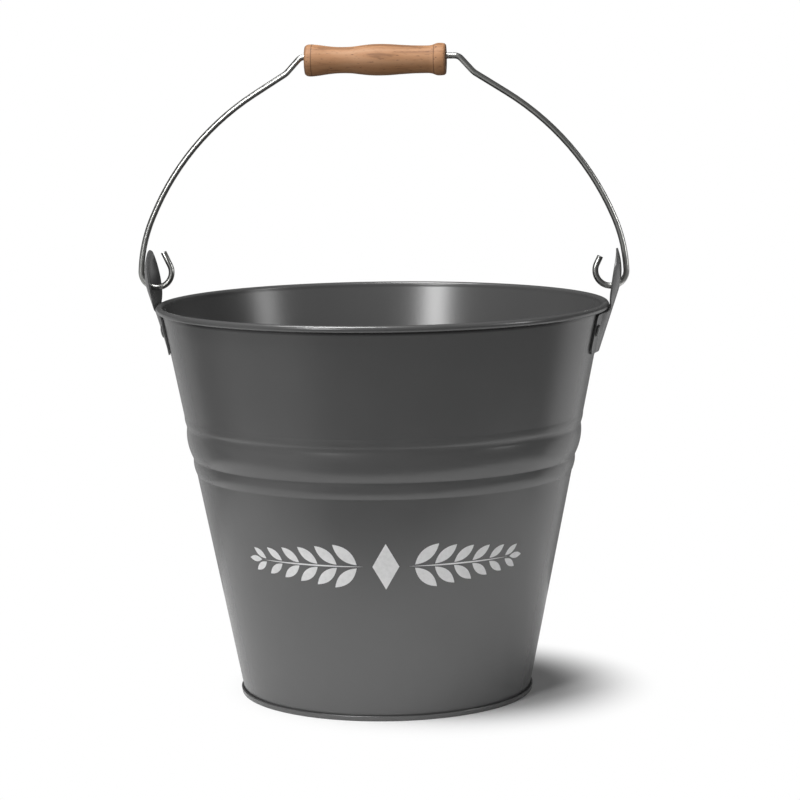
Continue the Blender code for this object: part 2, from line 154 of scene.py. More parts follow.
def spinRound(obj, steps, centre=(0, 0, 0), axis=(0, 0, 1)):
    editAll(obj)
    bpy.ops.mesh.spin(steps=steps, angle=math.tau, center=centre, axis=axis)
    mergeAndFaceOut(obj)


def turnedPiece(name, profile, steps, closed=True):
    obj = drawLine(name, [(radius, 0, height) for radius, height in profile], closed)
    spinRound(obj, steps)
    return obj


def addBevel(obj, width, segments, degrees):
    edges = obj.modifiers.new("edges", "BEVEL")
    edges.width = width
    edges.segments = segments
    edges.limit_method = "ANGLE"
    edges.angle_limit = math.radians(degrees)


def addThickness(obj, thickness, even=False):
    thick = obj.modifiers.new("thick", "SOLIDIFY")
    thick.thickness = thickness
    thick.offset = 0
    thick.use_even_offset = even


def applyModifiers(obj):
    makeActive(obj)
    for modifier in list(obj.modifiers):
        bpy.ops.object.modifier_apply(modifier=modifier.name)


def smoothShade(obj, degrees):
    makeActive(obj)
    bpy.ops.object.shade_smooth_by_angle(angle=math.radians(degrees))


def placeInMesh(obj):
    makeActive(obj)
    bpy.ops.object.transform_apply(location=True, rotation=True, scale=True)


def joinPieces(pieces, name):
    deselectAll()
    for obj in pieces:
        obj.select_set(True)
    bpy.context.view_layer.objects.active = pieces[0]
    bpy.ops.object.transform_apply(location=True, rotation=True, scale=True)
    bpy.ops.object.join()
    joined = bpy.context.object
    joined.name = joined.data.name = name
    return joined


def copyPiece(obj, name):
    makeActive(obj)
    bpy.ops.object.duplicate()
    twin = bpy.context.object
    twin.name = twin.data.name = name
    return twin


def finishPiece(obj, material, body, nodes=()):
    obj.data.materials.clear()
    obj.data.materials.append(material)
    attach(obj, body)
    if nodes:
        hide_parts(*nodes)
    print("made", obj.name, len(obj.data.polygons), "faces")


# Materials. Every pattern reads object coordinates, which are metres.

def mmPerTurn(size):
    # the scale at which a pattern repeats about every so many millimetres
    return 1000 / size


def linear(hexColour):
    values = [int(hexColour[i:i + 2], 16) / 255 for i in (1, 3, 5)]
    return (*[v / 12.92 if v <= 0.04045 else ((v + 0.055) / 1.055) ** 2.4 for v in values], 1)


def addNode(tree, kind, settings=None, links=None):
    # settings are the node's own or its sockets', by name or number
    node = tree.nodes.new("ShaderNode" + kind)
    for key, value in (settings or {}).items():
        if isinstance(key, int) or (key in node.inputs and not hasattr(node, key)):
            node.inputs[key].default_value = value
        else:
            setattr(node, key, value)
    for key, source in (links or {}).items():
        tree.links.new(source, node.inputs[key])
    return node


def startMaterial(name, settings):
    material = bpy.data.materials.new(name)
    material.use_nodes = True
    tree = material.node_tree
    shader = tree.nodes["Principled BSDF"]
    for key, value in settings.items():
        shader.inputs[key].default_value = value
    place = addNode(tree, "TexCoord").outputs["Object"]
    return material, tree, shader, place


def setRamp(node, stops, colours):
    ramp = node.color_ramp
    while len(ramp.elements) > 1:
        ramp.elements.remove(ramp.elements[-1])
    for index, (position, colour) in enumerate(zip(stops, colours)):
        element = ramp.elements[0] if index == 0 else ramp.elements.new(position)
        element.position = position
        element.color = colour


paintLook = {
    "colour": "#545454",
    "cloudColour": "#565656",
    "gloss": 0.84,
    "roughness": (0.25, 0.28),
    "cloudSize": 45,
    "cloudStops": (0.3, 0.7),
    "peelSize": 1.6,  # coarser than real orange peel, which would not show
    "peelDepth": 0.00002,
}
# painted shade under the rim's roll: its colour, the outer radius it keeps to, the heights where it fades in,
# and where it stops
underRollShadeLook = {"colour": "#0C0C0C", "radius": 0.14555, "heights": (0.2535, 0.2553), "top": 0.2564}


def paintedShadeUnderRoll(tree, place, shade, look):
    # painted shade: the colour turns dark on the outside of the neck, close under the roll, where the roll's
    # shadow falls
    low, high = look["heights"]
    parts = addNode(tree, "SeparateXYZ", links={0: place}).outputs
    flat = addNode(tree, "CombineXYZ", links={0: parts["X"], 1: parts["Y"]})
    radius = addNode(tree, "VectorMath", {"operation": "LENGTH"}, {0: flat.outputs["Vector"]})
    outside = addNode(
        tree, "Math", {"operation": "GREATER_THAN", 1: look["radius"]}, {0: radius.outputs["Value"]},
    )
    near = addNode(tree, "MapRange", {"From Min": low, "From Max": high}, {"Value": parts["Z"]})
    under = addNode(tree, "Math", {"operation": "LESS_THAN", 1: look["top"]}, {0: parts["Z"]})
    both = addNode(
        tree, "Math", {"operation": "MULTIPLY"}, {0: near.outputs["Result"], 1: outside.outputs["Value"]},
    )
    share = addNode(
        tree, "Math", {"operation": "MULTIPLY"}, {0: both.outputs["Value"], 1: under.outputs["Value"]},
    )
    darker = addNode(
        tree, "Mix", {"data_type": "RGBA", 7: linear(look["colour"])}, {0: share.outputs["Value"], 6: shade},
    )
    return darker.outputs[2]


def satinPaint(name, look):
    # Stoved satin paint on galvanised sheet: even and dark, with a faint orange peel in its gloss
    material, tree, shader, place = startMaterial(name, {"IOR": 1.5, "Specular IOR Level": look["gloss"]})
    clouds = addNode(
        tree, "TexNoise", {"Scale": mmPerTurn(look["cloudSize"]), "Detail": 2}, {"Vector": place},
    )
    colour = addNode(tree, "ValToRGB", links={"Fac": clouds.outputs["Fac"]})
    setRamp(colour, look["cloudStops"], [linear(look["colour"]), linear(look["cloudColour"])])
    rough = addNode(
        tree, "MapRange", {"To Min": look["roughness"][0], "To Max": look["roughness"][1]},
        {"Value": clouds.outputs["Fac"]},
    )
    shade = colour.outputs["Color"]
    # on the wall, painted shade darkens the colour in a band under the roll
    if "crease" in look:
        shade = paintedShadeUnderRoll(tree, place, shade, look["crease"])
    peel = addNode(tree, "TexNoise", {"Scale": mmPerTurn(look["peelSize"]), "Detail": 1}, {"Vector": place})
    bump = addNode(
        tree, "Bump", {"Distance": look["peelDepth"], "Strength": 1.0}, {"Height": peel.outputs["Fac"]},
    )
    tree.links.new(shade, shader.inputs["Base Color"])
    tree.links.new(rough.outputs["Result"], shader.inputs["Roughness"])
    tree.links.new(bump.outputs["Normal"], shader.inputs["Normal"])
    return material


# the wall's paint carries the painted shade band under the roll
wallPaint = satinPaint("satin_charcoal_paint", {**paintLook, "crease": underRollShadeLook})
# painted shade: the ears take the same paint a little darker, for their dim heads
earPaint = satinPaint("satin_charcoal_paint_on_ears_with_painted_shade", {**paintLook, "cloudSize": 14, "colour": "#4C4C4C"})
rivetPaint = satinPaint(
    "satin_charcoal_paint_on_rivets", {**paintLook, "cloudSize": 3, "cloudColour": "#5E5E5E"},
)

zincLook = {
    "colour": "#DEDEDA",
    "dullColour": "#C6C7C4",
    "patchSize": 12,
    "patchStops": (0.35, 0.62),
    "markSize": 3,  # the die's marks are finer, and would not show
    "markDepth": 0.00001,
    "markStrength": 0.04,
    "roughness": (0.24, 0.32),
}


def zincPlate(name, look):
    # Bright zinc on drawn wire: a metal with dull patches and fine marks from the die
    material, tree, shader, place = startMaterial(name, {"Metallic": 1.0})
    patches = addNode(
        tree, "TexNoise", {"Scale": mmPerTurn(look["patchSize"]), "Detail": 4}, {"Vector": place},
    )
    colour = addNode(tree, "ValToRGB", links={"Fac": patches.outputs["Fac"]})
    setRamp(colour, look["patchStops"], [linear(look["dullColour"]), linear(look["colour"])])
    rough = addNode(
        tree, "MapRange", {"To Min": look["roughness"][1], "To Max": look["roughness"][0]},
        {"Value": patches.outputs["Fac"]},
    )
    marks = addNode(tree, "TexNoise", {"Scale": mmPerTurn(look["markSize"]), "Detail": 2}, {"Vector": place})
    bump = addNode(
        tree, "Bump", {"Distance": look["markDepth"], "Strength": look["markStrength"]},
        {"Height": marks.outputs["Fac"]},
    )
    tree.links.new(colour.outputs["Color"], shader.inputs["Base Color"])
    tree.links.new(rough.outputs["Result"], shader.inputs["Roughness"])
    tree.links.new(bump.outputs["Normal"], shader.inputs["Normal"])
    return material


zinc = zincPlate("bright_zinc_plate", zincLook)
coreSteel = zincPlate("drawn_steel", {**zincLook, "colour": "#A9AAAA", "dullColour": "#777878"})

beechLook = {
    "stains": ("#946A4A", "#B6855E", "#BC8E69"),
    "stainStops": (0.32, 0.47, 0.62),
    "fleck": "#74503A",
    "grainLength": 45,
    "grainWidth": 5.0,
    "poreLength": 5,
    "poreWidth": 0.7,
    "poreStops": (0.62, 0.74),
    "poreDepth": 0.0001,
    "poreStrength": 0.5,
    "roughness": 0.6,
    "ringMiddle": -0.0041,
    "ringReach": 0.0402,
    "ringWidth": 0.0003,
    "endMiddle": -0.0026,
    "endReach": (0.0448, 0.0463),
    "endColour": "#4A3424",
    "endShare": 0.6,
}


def distanceFrom(tree, value, middle):
    away = addNode(tree, "Math", {"operation": "SUBTRACT", 1: middle}, {0: value})
    return addNode(tree, "Math", {"operation": "ABSOLUTE"}, {0: away.outputs["Value"]}).outputs["Value"]


def darkLineAndEndsShare(tree, place, look):
    # a fine dark line beside each collar, and darker towards the end faces
    along = addNode(tree, "SeparateXYZ", links={0: place}).outputs["X"]
    ring = addNode(
        tree, "Math", {"operation": "COMPARE", 1: look["ringReach"], 2: look["ringWidth"]},
        {0: distanceFrom(tree, along, look["ringMiddle"])},
    )
    inner, outer = look["endReach"]
    end = addNode(
        tree, "MapRange", {"From Min": inner, "From Max": outer},
        {"Value": distanceFrom(tree, along, look["endMiddle"])},
    )
    darkenedParts = addNode(
        tree, "Math", {"operation": "MAXIMUM"}, {0: ring.outputs["Value"], 1: end.outputs["Result"]},
    )
    share = addNode(tree, "Math", {"operation": "MULTIPLY", 1: look["endShare"]}, {0: darkenedParts.outputs["Value"]})
    return share.outputs["Value"]


def turnedBeech(name, look):
    # Turned beech under a thin stain: long soft grain, short dark pores, a dark ring line and dark ends
    material, tree, shader, place = startMaterial(name, {"Roughness": look["roughness"], "IOR": 1.45})
    along, across = mmPerTurn(look["grainLength"]), mmPerTurn(look["grainWidth"])
    grainPlace = addNode(tree, "Mapping", {"Scale": (along, across, across)}, {"Vector": place})
    grain = addNode(
        tree, "TexNoise", {"Scale": 1.0, "Detail": 6, "Roughness": 0.6, "Distortion": 0.6},
        {"Vector": grainPlace.outputs["Vector"]},
    )
    colour = addNode(tree, "ValToRGB", links={"Fac": grain.outputs["Fac"]})
    setRamp(colour, look["stainStops"], [linear(stain) for stain in look["stains"]])
    along, across = mmPerTurn(look["poreLength"]), mmPerTurn(look["poreWidth"])
    porePlace = addNode(tree, "Mapping", {"Scale": (along, across, across)}, {"Vector": place})
    pores = addNode(tree, "TexNoise", {"Scale": 1.0, "Detail": 2}, {"Vector": porePlace.outputs["Vector"]})
    poreShare = addNode(tree, "ValToRGB", links={"Fac": pores.outputs["Fac"]})
    setRamp(poreShare, look["poreStops"], [(0, 0, 0, 1), (1, 1, 1, 1)])
    flecked = addNode(
        tree, "Mix", {"data_type": "RGBA", 7: linear(look["fleck"])},
        {0: poreShare.outputs["Color"], 6: colour.outputs["Color"]},
    )
    share = darkLineAndEndsShare(tree, place, look)
    ended = addNode(
        tree, "Mix", {"data_type": "RGBA", 7: linear(look["endColour"])}, {0: share, 6: flecked.outputs[2]},
    )
    bump = addNode(
        tree, "Bump", {"Distance": look["poreDepth"], "Strength": look["poreStrength"], "invert": True},
        {"Height": poreShare.outputs["Color"]},
    )
    tree.links.new(ended.outputs[2], shader.inputs["Base Color"])
    tree.links.new(bump.outputs["Normal"], shader.inputs["Normal"])
    return material


beech = turnedBeech("stained_turned_beech", beechLook)

inkLook = {
    "colours": ("#E2E2E2", "#EBEBEB"),
    "coverStops": (0.3, 0.6),
    "coverSize": 2.5,
    "roughness": 0.5,
}


def printedInk(name, look):
    # Screen-printed ink, a little more matt than the paint and slightly uneven in cover
    material, tree, shader, place = startMaterial(name, {"Roughness": look["roughness"], "IOR": 1.5})
    cover = addNode(tree, "TexNoise", {"Scale": mmPerTurn(look["coverSize"]), "Detail": 3}, {"Vector": place})
    shade = addNode(tree, "ValToRGB", links={"Fac": cover.outputs["Fac"]})
    setRamp(shade, look["coverStops"], [linear(colour) for colour in look["colours"]])
    tree.links.new(shade.outputs["Color"], shader.inputs["Base Color"])
    return material


ink = printedInk("pale_grey_ink", inkLook)
print("materials are ready")

# Wall: one spun sheet, from the free edge inside the rim's roll down to the foot

wallShape = {
    "steps": 240,
    "faintRidge": (0.1845, 0.0060, 0.0003),  # each rib is its height, width and how far it stands out
    "upperRib": (0.1695, 0.0202, 0.0016),
    "lowerRib": (0.1539, 0.0104, 0.00075),
    "ribSteps": 18,
    "ribPower": 2.1,
    "crease": 0.0006,
    "ringsAbove": [0.22],
    "ringsBelow": [0.12, 0.06, 0.03],
    "rollAngles": (-120, 180),
    "rollSteps": (24, 28),
}


def ribLine(rib):
    # (height, how far it stands out), from the top edge down
    height, width, proud = rib
    line = []
    for step in range(wallShape["ribSteps"] + 1):
        share = 2 * step / wallShape["ribSteps"] - 1
        line.append((height - width * share / 2, proud * (1 - abs(share) ** wallShape["ribPower"])))
    return line


def wallLine(offset, low):
    close = wallShape["crease"]
    faint = ribLine(wallShape["faintRidge"])
    upper, lower = ribLine(wallShape["upperRib"]), ribLine(wallShape["lowerRib"])
    line = [(neckHeight, 0), (neckHeight - close, 0)]
    line += [(height, 0) for height in wallShape["ringsAbove"]]
    line += [(faint[0][0] + close, 0)] + faint + [(upper[0][0] + close, 0)] + upper + lower
    line += [(lower[-1][0] - close, 0)]
    line += [(height, 0) for height in wallShape["ringsBelow"] + [low]]
    return [(wallRadius(height) + proud + offset, height) for height, proud in line]


def makeWall():
    sheet, gap = bucket["sheet"], bucket["gap"]
    low = gap + 2 * sheet
    centre = (rollMiddle, rollHeight)
    start, end = wallShape["rollAngles"]
    innerSteps, outerSteps = wallShape["rollSteps"]
    profile = arcPoints(centre, bucket["rollRadius"] - sheet, start, end, innerSteps)
    profile += wallLine(0, low)
    profile += reversed(wallLine(-sheet, low))
    profile += arcPoints(centre, bucket["rollRadius"], end, start, outerSteps)
    wall = turnedPiece("bucket_shell", profile, wallShape["steps"])
    smoothShade(wall, degrees=30)
    return wall


finishPiece(makeWall(), wallPaint, "bucket", ["bucket_wall"])

# The grooved seam under the left ear, folded flat and stopped short of the neck

seamShape = {"width": 0.005, "proud": 0.0010, "edge": 0.0004, "clearOfFold": 0.002}


def makeSeam():
    line = wallLine(0, bucket["foldHeight"] + seamShape["clearOfFold"])
    seam = drawLine("grooved_side_seam", [(-radius, 0, height) for radius, height in line], closed=False)
    editAll(seam)
    half = Vector((0, seamShape["width"] / 2, 0))
    bpy.ops.transform.translate(value=-half)
    bpy.ops.mesh.extrude_region_move(TRANSFORM_OT_translate={"value": 2 * half})
    bpy.ops.mesh.select_all(action="SELECT")
    bpy.ops.mesh.normals_make_consistent(inside=False)
    bpy.ops.object.mode_set(mode="OBJECT")
    addThickness(seam, 2 * seamShape["proud"])
    addBevel(seam, seamShape["edge"], segments=3, degrees=50)
    applyModifiers(seam)
    smoothShade(seam, degrees=40)
    return seam


finishPiece(makeSeam(), wallPaint, "bucket")

# Base: the folded foot ring and the panel, pressed up in the middle

baseShape = {
    "underside": 0.0033,
    "rise": 0.0008,
    "stepRadius": 0.080,
    "stepRun": 0.002,
    "ring": 0.03,
    "corner": 0.0005,
    "edgeRun": 0.001,
    "edgeDrop": 0.0004,
    "steps": 240,
}


def makeBase():
    sheet, gap, fold = bucket["sheet"], bucket["gap"], bucket["foldHeight"]
    under, rise, corner = baseShape["underside"], baseShape["rise"], baseShape["corner"]
    top = under + sheet
    inner = -2 * sheet - gap
    outer = 2 * (sheet + gap)
    edge = wallRadius(top) - sheet - gap
    step = baseShape["stepRadius"]
    stepTop = step - baseShape["stepRun"]

    def at(offset, height):
        return (wallRadius(height) + offset, height)

    def turnedEdge(centre, radius, start, end, steps):
        return reversed(arcPoints(centre, radius, start, end, steps))

    profile = [(0, top + rise), (baseShape["ring"], top + rise), (stepTop, top + rise)]
    profile += [(step, top), (edge - baseShape["edgeRun"], top), (edge, top - baseShape["edgeDrop"])]
    profile += [at(-sheet - gap, sheet), at(outer - sheet, sheet), at(outer - sheet, fold - sheet)]
    profile += [at(gap, fold - sheet), at(gap, fold - corner)]
    profile += turnedEdge(at(gap + corner / 2, fold - corner / 2), corner / 2, 90, 180, steps=4)
    profile += turnedEdge(at(outer - corner, fold - corner), corner, 0, 90, steps=6)
    profile += turnedEdge(at(outer - corner, corner), corner, -90, 0, steps=6)
    profile += turnedEdge(at(inner + corner, corner), corner, 180, 270, steps=6)
    profile += [at(inner, under), (step, under), (stepTop, under + rise), (0, under + rise)]
    base = turnedPiece("folded_foot_and_floor", profile, baseShape["steps"], closed=False)
    smoothShade(base, degrees=35)
    return base


finishPiece(makeBase(), wallPaint, "bucket", ["base"])

# Sizes of the bail and the grip. The ears' holes follow the hooks, and the bail's line the grip.

bailShape = {
    "wireRadius": 0.002,
    "hookRadius": 0.0102,
    "entryDegrees": 33.1,
    "tipDegrees": 205.0,
    "leftTip": 0.0100,
    "rightTip": 0.0055,
    "legLean": 4.0,
    "elbowRise": 0.0282,
    "elbowRadius": 0.100,
    "armLean": 23.3,
    "armStraight": 0.001,
    "shoulderSlope": 31.9,
    "shoulderBend": 0.014,
    "kinkSlope": 47.5,
    "kinkLength": 0.0145,
    "kinkBend": 0.006,
    "rise": 0.1497,
    "pastGrip": 0.0031,
    "bendSteps": 14,
    "hookSteps": 48,
    "endEdge": 0.0003,
}
gripShape = {
    "length": 0.0926,
    "radius": 0.0106,
    "bore": 0.0045,
    "slip": 0.0026,
    "mouth": (0.0004, 0.0005),
    "ringsAlong": 90,
    "steps": 96,
    "line": [
        # share of the length, share of the radius
        (0.000, 0.87), (0.013, 0.96), (0.040, 0.99), (0.090, 0.955), (0.150, 0.88), (0.215, 0.82),
        (0.275, 0.805), (0.335, 0.825), (0.395, 0.89), (0.460, 0.95), (0.525, 0.97), (0.600, 0.955),
        (0.680, 0.905), (0.760, 0.865), (0.840, 0.85), (0.885, 0.855), (0.910, 0.90), (0.935, 0.985),
        (0.965, 1.00), (0.990, 0.97), (1.000, 0.90),
    ],
}
wireHeight = pivotHeight + bailShape["rise"]
gripHeight = wireHeight - (gripShape["bore"] - bailShape["wireRadius"] - bucket["gap"])

# Ears: a flat blank cut to its outline, pressed to shape, given its thickness and pierced

earShape = {
    "sheet": 0.0012,
    "foot": 0.0320,
    "footStandoff": 0.0027,
    "rimStandoff": 0.0029,
    "foldY": 0.017,
    "flangeY": 0.033,
    "flangeDrop": 0.0058,
    "flangeCorner": 0.006,
    "shoulderCorner": 0.003,
    "neckY": 0.0130,
    "neckCorner": 0.002,
    "neckFillet": 0.004,
    "headRadius": 0.0207,
    "headRise": 0.0143,
    "headDepth": 0.0047,
    "headPower": 2.5,
    "curlStart": 0.0074,
    "curlRadius": 0.041,
    "channelPower": 2.2,
    "blendRise": 0.0023,
    "holeRadius": 0.0040,
    "edge": 0.00025,
    "cell": 0.0018,
    "cornerSteps": 8,
    "headSteps": 40,
    "holeSteps": 48,
    "punchLength": 0.03,
}
earFoot = bucket["rimTop"] - earShape["foot"]
earFlangeTop = bucket["rimTop"] - earShape["flangeDrop"]
earHead = bucket["rimTop"] + earShape["headRise"]


def crestX(height):
    # the ear's outer face along its middle, which leans out past the roll and curls back at the top
    foot = wallRadius(earFoot) + earShape["footStandoff"]
    lean = (bucket["rimRadius"] + earShape["rimStandoff"] - foot) / (rollHeight - earFoot)
    curl = max(0, height - bucket["rimTop"] - earShape["curlStart"]) ** 2 / (2 * earShape["curlRadius"])
    return foot + lean * (height - earFoot) - curl


def pressedX(y, height):
    # middle of the pressed sheet: a channel between two flanges, opening into the dished head
    thick = earShape["sheet"]
    away = abs(y)

    def flangeX(across, level):
        return math.sqrt((wallRadius(level) + bucket["gap"] + thick / 2) ** 2 - across ** 2)

    if away > earShape["foldY"] and height <= earFlangeTop + 10 * mergeDistance:
        return flangeX(away, height)
    level = min(height, earFlangeTop)
    channel = crestX(level) - thick / 2 - flangeX(earShape["foldY"], level)
    channel *= (min(away, earShape["foldY"]) / earShape["foldY"]) ** earShape["channelPower"]
    dish = earShape["headDepth"] * (away / earShape["headRadius"]) ** earShape["headPower"]
    share = min(1, max(0, (height - earFlangeTop) / earShape["blendRise"]))
    return crestX(height) - thick / 2 - channel * (1 - share) - dish * share


def earOutline():
    shape = earShape
    reach = shape["headRadius"] + shape["neckFillet"]
    filletY = shape["neckY"] + shape["neckFillet"]
    filletZ = earHead - math.sqrt(reach ** 2 - filletY ** 2)
    tangent = math.degrees(math.atan2(filletZ - earHead, filletY))
    corners = [(0, earFoot), (shape["flangeY"], earFoot), (shape["flangeY"], earFlangeTop)]
    corners += [(shape["neckY"], earFlangeTop), (shape["neckY"], filletZ)]
    radii = [shape["flangeCorner"], shape["shoulderCorner"], shape["neckCorner"]]
    steps = shape["cornerSteps"]
    half = roundedLine(corners, radii, steps)
    half += arcPoints((filletY, filletZ), shape["neckFillet"], 180, 180 + tangent, steps)[1:]
    half += arcPoints((0, earHead), shape["headRadius"], tangent, 90, shape["headSteps"])[1:]
    return half + [(-y, z) for y, z in reversed(half[1:-1])]


def hookCentre():
    entry = math.radians(bailShape["entryDegrees"])
    pivotX = crestX(pivotHeight) - earShape["sheet"] / 2
    reach = bailShape["hookRadius"]
    return (pivotX - reach * math.sin(entry), pivotHeight + reach * math.cos(entry))


def hookLow():
    # the lowest point of the wire where it passes through the hole
    centre = hookCentre()
    edge = crestX(pivotHeight - earShape["holeRadius"]) - earShape["sheet"]
    reach = bailShape["hookRadius"] + bailShape["wireRadius"]
    return centre[1] - math.sqrt(reach ** 2 - (edge - centre[0]) ** 2)


def makeEar():
    ear = drawLine("right_pressed_ear", [(0, y, z) for y, z in earOutline()], closed=True)
    editAll(ear)
    bpy.ops.mesh.edge_face_add()
    wide, fold, cell = earShape["flangeY"], earShape["foldY"], earShape["cell"]
    top = earHead + earShape["headRadius"]
    blended = earFlangeTop + earShape["blendRise"]
    across = [((0, y, 0), (0, 1, 0)) for y in cutPlaces(-wide, wide, cell, [-fold, fold])]
    upward = [((0, 0, z), (0, 0, 1)) for z in cutPlaces(earFoot, top, cell, [earFlangeTop, blended])]
    for place, normal in across + upward:
        bpy.ops.mesh.select_all(action="SELECT")
        bpy.ops.mesh.bisect(plane_co=place, plane_no=normal)
    bpy.ops.object.mode_set(mode="OBJECT")
    for vertex in ear.data.vertices:
        vertex.co.x = pressedX(vertex.co.y, vertex.co.z)
    mergeAndFaceOut(ear)
    addThickness(ear, earShape["sheet"], even=True)
    deselectAll()
    bpy.ops.mesh.primitive_cylinder_add(
        vertices=earShape["holeSteps"], radius=earShape["holeRadius"], depth=earShape["punchLength"],
        location=(crestX(pivotHeight), 0, hookLow() - bucket["gap"] + earShape["holeRadius"]),
        rotation=(0, math.pi / 2, 0),
    )
    punch = bpy.context.object
    hole = ear.modifiers.new("hole", "BOOLEAN")
    hole.object = punch
    hole.operation = "DIFFERENCE"
    addBevel(ear, earShape["edge"], segments=2, degrees=60)
    applyModifiers(ear)
    bpy.data.objects.remove(punch)
    smoothShade(ear, degrees=18)
    return ear


rightEar = makeEar()
leftEar = copyPiece(rightEar, "left_pressed_ear")
bpy.ops.transform.rotate(value=math.pi, orient_axis="Z", center_override=(0, 0, 0))
placeInMesh(leftEar)
finishPiece(rightEar, earPaint, "bucket", ["right_ear"])
finishPiece(leftEar, earPaint, "bucket", ["left_ear"])

# Rivets: a domed head on the ear and a spread tail inside

rivetShape = {
    "belowRim": 0.0162,
    "y": 0.027,
    "head": 0.004,
    "headHeight": 0.0014,
    "headSide": 0.0003,
    "tail": 0.0032,
    "tailHeight": 0.0009,
    "tailEdge": 0.0004,
    "roundSteps": 40,
    "domeSteps": 24,
}


def makeRivet():
    seat = 2 * bucket["gap"] + earShape["sheet"]
    side = rivetShape["headSide"]
    deselectAll()
    bpy.ops.mesh.primitive_uv_sphere_add(
        segments=rivetShape["roundSteps"], ring_count=rivetShape["domeSteps"],
        radius=rivetShape["head"], location=(0, 0, 0),
    )
    head = bpy.context.object
    bpy.ops.object.mode_set(mode="EDIT")
    bpy.ops.mesh.bisect(plane_co=(0, 0, 0), plane_no=(0, 0, 1), clear_inner=True, use_fill=True)
    bpy.ops.mesh.select_all(action="SELECT")
    flat = (rivetShape["headHeight"] - side) / rivetShape["head"]
    bpy.ops.transform.resize(value=(1, 1, flat), center_override=(0, 0, 0))
    bpy.ops.transform.translate(value=(0, 0, seat + side))
    bpy.ops.object.mode_set(mode="OBJECT")
    for face in head.data.polygons:
        face.select = face.normal.z < -0.9
    bpy.ops.object.mode_set(mode="EDIT")
    bpy.ops.mesh.select_mode(type="FACE")
    bpy.ops.mesh.extrude_region_move(TRANSFORM_OT_translate={"value": (0, 0, -side)})
    deselectAll()
    bpy.ops.mesh.primitive_cylinder_add(
        vertices=rivetShape["roundSteps"], radius=rivetShape["tail"], depth=rivetShape["tailHeight"],
        location=(0, 0, -bucket["sheet"] - bucket["gap"] - rivetShape["tailHeight"] / 2),
    )
    tail = bpy.context.object
    addBevel(tail, rivetShape["tailEdge"], segments=3, degrees=30)
    applyModifiers(tail)
    return joinPieces([head, tail], "rivet")


def placeRivets(first):
    height = bucket["rimTop"] - rivetShape["belowRim"]
    radius = wallRadius(height)
    for side, front in ((1, -1), (1, 1), (-1, -1), (-1, 1)):
        bearing = math.asin(rivetShape["y"] / radius) * front
        bearing = math.pi - bearing if side < 0 else bearing
        where = ("right" if side > 0 else "left") + "_ear_" + ("front" if front < 0 else "rear")
        rivet = copyPiece(first, where + "_domed_rivet")
        outward = Vector((math.cos(bearing), math.sin(bearing), -wallSlope)).normalized()
        rivet.rotation_mode = "QUATERNION"
        rivet.rotation_quaternion = outward.to_track_quat("Z", "X")
        rivet.location = (radius * math.cos(bearing), radius * math.sin(bearing), height)
        placeInMesh(rivet)
        smoothShade(rivet, degrees=40)
        finishPiece(rivet, rivetPaint, "bucket", [where + "_rivet"])
    bpy.data.objects.remove(first)


placeRivets(makeRivet())

# Bail: one bent wire, drawn as a line and given its round section

def bailHalf(tip):
    shape = bailShape
    kink, shoulder = math.radians(shape["kinkSlope"]), math.radians(shape["shoulderSlope"])
    arm, lean = math.radians(shape["armLean"]), math.radians(shape["legLean"])
    first = gripShape["length"] / 2 + gripShape["slip"] + shape["pastGrip"]
    second = (first + shape["kinkLength"] * math.cos(kink), wireHeight - shape["kinkLength"] * math.sin(kink))
    centre = hookCentre()
    reach = shape["hookRadius"]
    foot = (centre[0] + reach * math.cos(lean), centre[1] + reach * math.sin(lean))
    elbowHeight = pivotHeight + shape["elbowRise"]
    elbow = (foot[0] - (elbowHeight - foot[1]) * math.tan(lean), elbowHeight)
    # third is where the arm's line meets the shoulder's, and the arch rounds it off
    run, fall = second[0] - elbow[0], second[1] - elbow[1]
    up = (fall + run * math.tan(shoulder)) / (math.cos(arm) - math.sin(arm) * math.tan(shoulder))
    third = (elbow[0] - up * math.sin(arm), elbow[1] + up * math.cos(arm))
    armRoom = up - shape["armStraight"] - shape["elbowRadius"] * math.tan((arm - lean) / 2)
    shoulderRoom = math.dist(second, third) - shape["shoulderBend"] * math.tan((kink - shoulder) / 2)
    archRadius = min(armRoom, shoulderRoom) / math.tan((math.pi / 2 - arm - shoulder) / 2)
    corners = [(0, wireHeight), (first, wireHeight), second, third, elbow, foot]
    bends = [shape["kinkBend"], shape["shoulderBend"], archRadius, shape["elbowRadius"]]
    line = roundedLine(corners, bends, shape["bendSteps"])
    line += arcPoints(centre, reach, shape["legLean"], -shape["tipDegrees"], shape["hookSteps"])[1:]
    away = math.radians(-shape["tipDegrees"] - 90)
    return line + [(line[-1][0] + tip * math.cos(away), line[-1][1] + tip * math.sin(away))]


def makeBail():
    left = [(-x, 0, z) for x, z in reversed(bailHalf(bailShape["leftTip"])[1:])]
    right = [(x, 0, z) for x, z in bailHalf(bailShape["rightTip"])[1:]]
    bail = drawLine("bent_wire_bail", left + right, closed=False)
    makeActive(bail)
    bpy.ops.object.convert(target="CURVE")
    bail.data.bevel_depth = bailShape["wireRadius"]
    bail.data.bevel_resolution = 6
    bail.data.use_fill_caps = True
    bpy.ops.object.convert(target="MESH")
    mergeAndFaceOut(bail)
    addBevel(bail, bailShape["endEdge"], segments=2, degrees=70)
    applyModifiers(bail)
    smoothShade(bail, degrees=40)
    return bail


finishPiece(makeBail(), zinc, "bail", ["bail_wire"])

# Grip: a turned handle, drilled through

def gripRadiusAt(share):
    # a smooth curve through the turned line's points
    line = gripShape["line"]
    index = max(i for i in range(len(line) - 1) if line[i][0] <= share)
    (a, p), (b, q) = line[index], line[index + 1]

    def slope(i):
        low, high = max(0, i - 1), min(len(line) - 1, i + 1)
        return (line[high][1] - line[low][1]) / (line[high][0] - line[low][0])

    t = (share - a) / (b - a)
    run = b - a
    value = (2 * t ** 3 - 3 * t ** 2 + 1) * p + (t ** 3 - 2 * t ** 2 + t) * slope(index) * run
    value += (3 * t ** 2 - 2 * t ** 3) * q + (t ** 3 - t ** 2) * slope(index + 1) * run
    return gripShape["radius"] * value


